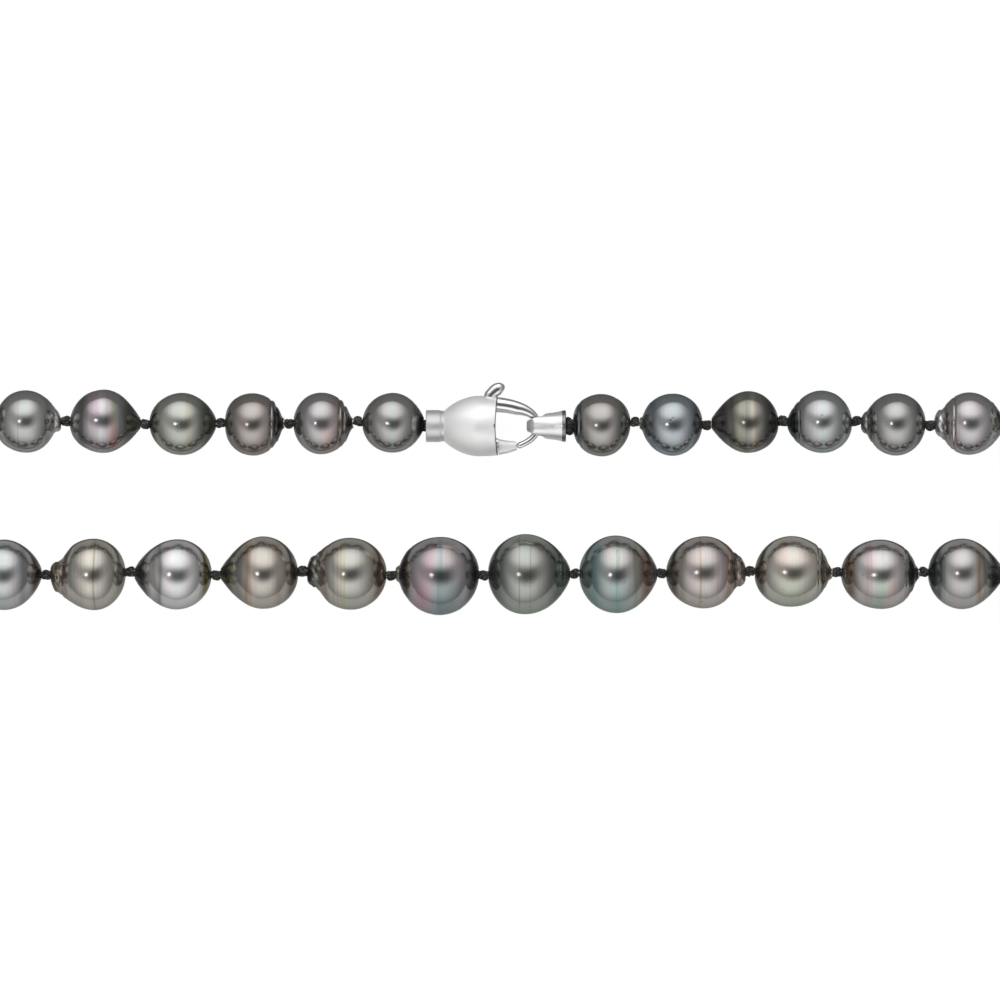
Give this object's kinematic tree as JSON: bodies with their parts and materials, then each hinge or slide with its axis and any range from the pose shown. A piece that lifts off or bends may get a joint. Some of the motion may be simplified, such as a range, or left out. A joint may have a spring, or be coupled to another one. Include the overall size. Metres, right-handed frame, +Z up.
{
  "type": "pearl necklace",
  "caption": "Graduated strand of dark baroque pearls, knotted on black silk and closed by a polished sprung claw clasp, lying in two rows.",
  "frame": {"origin": "middle of the strand's plan box, on the surface that the pearls lie on", "axes": "+X along the two rows towards the clasp's tail, +Y from the front row to the clasp's row, +Z up off the surface"},
  "size_m": [0.2136, 0.0352, 0.0102],
  "materials": {
    "pearl_charcoal": "gloss",
    "pearl_grey": "gloss",
    "pearl_green": "gloss",
    "pearl_bronze": "gloss",
    "pearl_blue": "gloss",
    "pearl_mauve": "gloss",
    "silk": "matte",
    "white_metal": "polished",
    "spring_steel": "satin"
  },
  "bodies": {
    "clasp": {"clasp_body": "white_metal", "collar_bar": "white_metal", "lever_pin": "spring_steel", "return_spring": "spring_steel", "silk_clasp_span_back": "silk", "silk_clasp_span_front": "silk"},
    "left_span_1": {"silk_left_span_1_back": "silk", "silk_left_span_1_front": "silk"},
    "left_span_2": {"silk_left_span_2_back": "silk", "silk_left_span_2_front": "silk"},
    "left_turn": {"silk_left_turn_turn": "silk"},
    "right_span_1": {"tail_piece": "white_metal", "tail_bar": "white_metal", "silk_right_span_1_back": "silk", "silk_right_span_1_front": "silk"},
    "right_span_2": {"silk_right_span_2_back": "silk", "silk_right_span_2_front": "silk"},
    "right_turn": {"silk_right_turn_turn": "silk"},
    "lever": {"trigger_lever": "white_metal"},
    "bead_01": {"pearl_01": "pearl_grey"},
    "bead_02": {"pearl_02": "pearl_mauve"},
    "bead_03": {"pearl_03": "pearl_grey"},
    "bead_04": {"pearl_04": "pearl_green"},
    "bead_05": {"pearl_05": "pearl_mauve"},
    "bead_06": {"pearl_06": "pearl_grey"},
    "bead_07": {"pearl_07": "pearl_grey"},
    "bead_08": {"pearl_08": "pearl_green"},
    "bead_09": {"pearl_09": "pearl_charcoal"},
    "bead_10": {"pearl_10": "pearl_bronze"},
    "bead_11": {"pearl_11": "pearl_blue"},
    "bead_12": {"pearl_12": "pearl_grey"},
    "bead_13": {"pearl_13": "pearl_green"},
    "bead_14": {"pearl_14": "pearl_charcoal"},
    "bead_15": {"pearl_15": "pearl_charcoal"},
    "bead_16": {"pearl_16": "pearl_bronze"},
    "bead_17": {"pearl_17": "pearl_grey"},
    "bead_18": {"pearl_18": "pearl_bronze"},
    "bead_19": {"pearl_19": "pearl_bronze"},
    "bead_20": {"pearl_20": "pearl_charcoal"},
    "bead_21": {"pearl_21": "pearl_green"},
    "bead_22": {"pearl_22": "pearl_green"},
    "bead_23": {"pearl_23": "pearl_bronze"},
    "bead_24": {"pearl_24": "pearl_green"},
    "bead_25": {"pearl_25": "pearl_green"},
    "bead_26": {"pearl_26": "pearl_charcoal"},
    "bead_27": {"pearl_27": "pearl_grey"},
    "bead_28": {"pearl_28": "pearl_green"},
    "bead_29": {"pearl_29": "pearl_charcoal"},
    "bead_30": {"pearl_30": "pearl_bronze"},
    "bead_31": {"pearl_31": "pearl_blue"},
    "bead_32": {"pearl_32": "pearl_grey"},
    "bead_33": {"pearl_33": "pearl_green"},
    "bead_34": {"pearl_34": "pearl_charcoal"},
    "bead_35": {"pearl_35": "pearl_bronze"},
    "bead_36": {"pearl_36": "pearl_grey"},
    "bead_37": {"pearl_37": "pearl_grey"},
    "bead_38": {"pearl_38": "pearl_blue"},
    "bead_39": {"pearl_39": "pearl_charcoal"},
    "bead_40": {"pearl_40": "pearl_blue"},
    "bead_41": {"pearl_41": "pearl_mauve"}
  },
  "joints": [
    {"name": "clasp_lever", "type": "hinge", "parent": "clasp", "child": "lever", "pos_m": [-0.00563, 0.00791, 0.0039], "axis": [0, 0, 1], "range_deg": [0, 22], "stiffness_Nm_per_rad": 0.004, "springref_deg": -17.19, "deforming": ["return_spring"]},
    {"name": "fold_left_1", "type": "hinge", "parent": "clasp", "child": "left_span_1", "pos_m": [-0.01768, -0.00015, 0.00435], "axis": [-0.2157, 0.9753, -0.047], "range_deg": [-35, 35]},
    {"name": "fold_left_2", "type": "hinge", "parent": "left_span_1", "child": "left_span_2", "pos_m": [-0.03784, -0.00015, 0.00426], "axis": [0.0288, 0.9991, -0.0311], "range_deg": [-35, 35]},
    {"name": "fold_left_3", "type": "hinge", "parent": "left_span_2", "child": "left_turn", "pos_m": [-0.0588, -0.00015, 0.00427], "axis": [0.1268, 0.9916, -0.0237], "range_deg": [-35, 35]},
    {"name": "fold_right_1", "type": "hinge", "parent": "clasp", "child": "right_span_1", "pos_m": [0.00574, -0.00032, 0.00445], "axis": [0.2435, -0.9683, 0.056], "range_deg": [-35, 35]},
    {"name": "fold_right_2", "type": "hinge", "parent": "right_span_1", "child": "right_span_2", "pos_m": [0.02798, -0.00015, 0.00426], "axis": [0.2754, -0.9609, 0.0299], "range_deg": [-35, 35]},
    {"name": "fold_right_3", "type": "hinge", "parent": "right_span_2", "child": "right_turn", "pos_m": [0.04882, -0.00015, 0.00426], "axis": [0.4071, -0.9131, 0.0228], "range_deg": [-35, 35]},
    {"name": "pearl_01_turn", "type": "hinge", "parent": "clasp", "child": "bead_01", "pos_m": [-0.01531, 0.00955, 0.00384], "axis": [-1, 0, 0], "continuous": true},
    {"name": "pearl_02_turn", "type": "hinge", "parent": "left_span_1", "child": "bead_02", "pos_m": [-0.0246, 0.00955, 0.00392], "axis": [-1, 0, 0], "continuous": true},
    {"name": "pearl_03_turn", "type": "hinge", "parent": "left_span_1", "child": "bead_03", "pos_m": [-0.03337, 0.00955, 0.00395], "axis": [-1, 0, 0], "continuous": true},
    {"name": "pearl_04_turn", "type": "hinge", "parent": "left_span_2", "child": "bead_04", "pos_m": [-0.04253, 0.00955, 0.00395], "axis": [-1, 0, 0], "continuous": true},
    {"name": "pearl_05_turn", "type": "hinge", "parent": "left_span_2", "child": "bead_05", "pos_m": [-0.05259, 0.00955, 0.00405], "axis": [-1, 0, 0], "continuous": true},
    {"name": "pearl_06_turn", "type": "hinge", "parent": "left_turn", "child": "bead_06", "pos_m": [-0.06266, 0.00955, 0.00401], "axis": [-1, 0, 0], "continuous": true},
    {"name": "pearl_07_turn", "type": "hinge", "parent": "left_turn", "child": "bead_07", "pos_m": [-0.07182, 0.01075, 0.00406], "axis": [-0.9673, 0.2535, 0], "continuous": true},
    {"name": "pearl_08_turn", "type": "hinge", "parent": "left_turn", "child": "bead_08", "pos_m": [-0.08233, 0.01318, 0.00411], "axis": [-0.9805, 0.1965, 0], "continuous": true},
    {"name": "pearl_09_turn", "type": "hinge", "parent": "left_turn", "child": "bead_09", "pos_m": [-0.0924, 0.01312, 0.00416], "axis": [-0.9833, -0.1818, 0], "continuous": true},
    {"name": "pearl_10_turn", "type": "hinge", "parent": "left_turn", "child": "bead_10", "pos_m": [-0.10021, 0.00847, 0.00422], "axis": [-0.633, -0.7741, 0], "continuous": true},
    {"name": "pearl_11_turn", "type": "hinge", "parent": "left_turn", "child": "bead_11", "pos_m": [-0.10265, -0.00062, 0.00427], "axis": [0.2171, -0.9762, 0], "continuous": true},
    {"name": "pearl_12_turn", "type": "hinge", "parent": "left_turn", "child": "bead_12", "pos_m": [-0.09656, -0.00897, 0.00432], "axis": [0.8615, -0.5077, 0], "continuous": true},
    {"name": "pearl_13_turn", "type": "hinge", "parent": "left_turn", "child": "bead_13", "pos_m": [-0.08655, -0.01156, 0.00437], "axis": [0.9999, -0.0122, 0], "continuous": true},
    {"name": "pearl_14_turn", "type": "hinge", "parent": "left_turn", "child": "bead_14", "pos_m": [-0.07653, -0.01079, 0.00442], "axis": [0.9866, 0.1634, 0], "continuous": true},
    {"name": "pearl_15_turn", "type": "hinge", "parent": "left_turn", "child": "bead_15", "pos_m": [-0.06546, -0.00985, 0.00447], "axis": [1, 0, 0], "continuous": true},
    {"name": "pearl_16_turn", "type": "hinge", "parent": "left_span_2", "child": "bead_16", "pos_m": [-0.05385, -0.00985, 0.00453], "axis": [1, 0, 0], "continuous": true},
    {"name": "pearl_17_turn", "type": "hinge", "parent": "left_span_2", "child": "bead_17", "pos_m": [-0.04315, -0.00985, 0.00447], "axis": [1, 0, 0], "continuous": true},
    {"name": "pearl_18_turn", "type": "hinge", "parent": "left_span_1", "child": "bead_18", "pos_m": [-0.03206, -0.00985, 0.00465], "axis": [1, 0, 0], "continuous": true},
    {"name": "pearl_19_turn", "type": "hinge", "parent": "left_span_1", "child": "bead_19", "pos_m": [-0.02083, -0.00985, 0.00463], "axis": [1, 0, 0], "continuous": true},
    {"name": "pearl_20_turn", "type": "hinge", "parent": "clasp", "child": "bead_20", "pos_m": [-0.00922, -0.00985, 0.005], "axis": [1, 0, 0], "continuous": true},
    {"name": "pearl_21_turn", "type": "hinge", "parent": "clasp", "child": "bead_21", "pos_m": [0.00174, -0.00985, 0.00509], "axis": [1, 0, 0], "continuous": true},
    {"name": "pearl_22_turn", "type": "hinge", "parent": "right_span_1", "child": "bead_22", "pos_m": [0.01348, -0.00985, 0.00491], "axis": [1, 0, 0], "continuous": true},
    {"name": "pearl_23_turn", "type": "hinge", "parent": "right_span_1", "child": "bead_23", "pos_m": [0.02483, -0.00985, 0.00459], "axis": [1, 0, 0], "continuous": true},
    {"name": "pearl_24_turn", "type": "hinge", "parent": "right_span_2", "child": "bead_24", "pos_m": [0.03605, -0.00985, 0.00453], "axis": [1, 0, 0], "continuous": true},
    {"name": "pearl_25_turn", "type": "hinge", "parent": "right_span_2", "child": "bead_25", "pos_m": [0.04766, -0.00985, 0.00447], "axis": [1, 0, 0], "continuous": true},
    {"name": "pearl_26_turn", "type": "hinge", "parent": "right_turn", "child": "bead_26", "pos_m": [0.05811, -0.00985, 0.00453], "axis": [1, 0, 0], "continuous": true},
    {"name": "pearl_27_turn", "type": "hinge", "parent": "right_turn", "child": "bead_27", "pos_m": [0.06904, -0.01099, 0.00447], "axis": [0.9748, -0.2229, 0], "continuous": true},
    {"name": "pearl_28_turn", "type": "hinge", "parent": "right_turn", "child": "bead_28", "pos_m": [0.08045, -0.01321, 0.00442], "axis": [0.9874, -0.1581, 0], "continuous": true},
    {"name": "pearl_29_turn", "type": "hinge", "parent": "right_turn", "child": "bead_29", "pos_m": [0.09107, -0.01288, 0.00436], "axis": [0.9804, 0.197, 0], "continuous": true},
    {"name": "pearl_30_turn", "type": "hinge", "parent": "right_turn", "child": "bead_30", "pos_m": [0.09929, -0.0082, 0.00431], "axis": [0.6675, 0.7446, 0], "continuous": true},
    {"name": "pearl_31_turn", "type": "hinge", "parent": "right_turn", "child": "bead_31", "pos_m": [0.10258, 0.00089, 0.00426], "axis": [-0.0998, 0.995, 0], "continuous": true},
    {"name": "pearl_32_turn", "type": "hinge", "parent": "right_turn", "child": "bead_32", "pos_m": [0.0977, 0.0099, 0.0042], "axis": [-0.7824, 0.6228, 0], "continuous": true},
    {"name": "pearl_33_turn", "type": "hinge", "parent": "right_turn", "child": "bead_33", "pos_m": [0.08846, 0.01345, 0.00415], "axis": [-0.9954, 0.0961, 0], "continuous": true},
    {"name": "pearl_34_turn", "type": "hinge", "parent": "right_turn", "child": "bead_34", "pos_m": [0.07905, 0.01296, 0.00409], "axis": [-0.9795, -0.2013, 0], "continuous": true},
    {"name": "pearl_35_turn", "type": "hinge", "parent": "right_turn", "child": "bead_35", "pos_m": [0.0692, 0.01079, 0.00404], "axis": [-0.973, -0.2309, 0], "continuous": true},
    {"name": "pearl_36_turn", "type": "hinge", "parent": "right_turn", "child": "bead_36", "pos_m": [0.05901, 0.00955, 0.00398], "axis": [-1, 0, 0], "continuous": true},
    {"name": "pearl_37_turn", "type": "hinge", "parent": "right_turn", "child": "bead_37", "pos_m": [0.04959, 0.00955, 0.00401], "axis": [-1, 0, 0], "continuous": true},
    {"name": "pearl_38_turn", "type": "hinge", "parent": "right_span_2", "child": "bead_38", "pos_m": [0.04004, 0.00955, 0.00401], "axis": [-1, 0, 0], "continuous": true},
    {"name": "pearl_39_turn", "type": "hinge", "parent": "right_span_2", "child": "bead_39", "pos_m": [0.03049, 0.00955, 0.00395], "axis": [-1, 0, 0], "continuous": true},
    {"name": "pearl_40_turn", "type": "hinge", "parent": "right_span_1", "child": "bead_40", "pos_m": [0.02081, 0.00955, 0.00395], "axis": [-1, 0, 0], "continuous": true},
    {"name": "pearl_41_turn", "type": "hinge", "parent": "right_span_1", "child": "bead_41", "pos_m": [0.01165, 0.00955, 0.00395], "axis": [-1, 0, 0], "continuous": true}
  ]
}
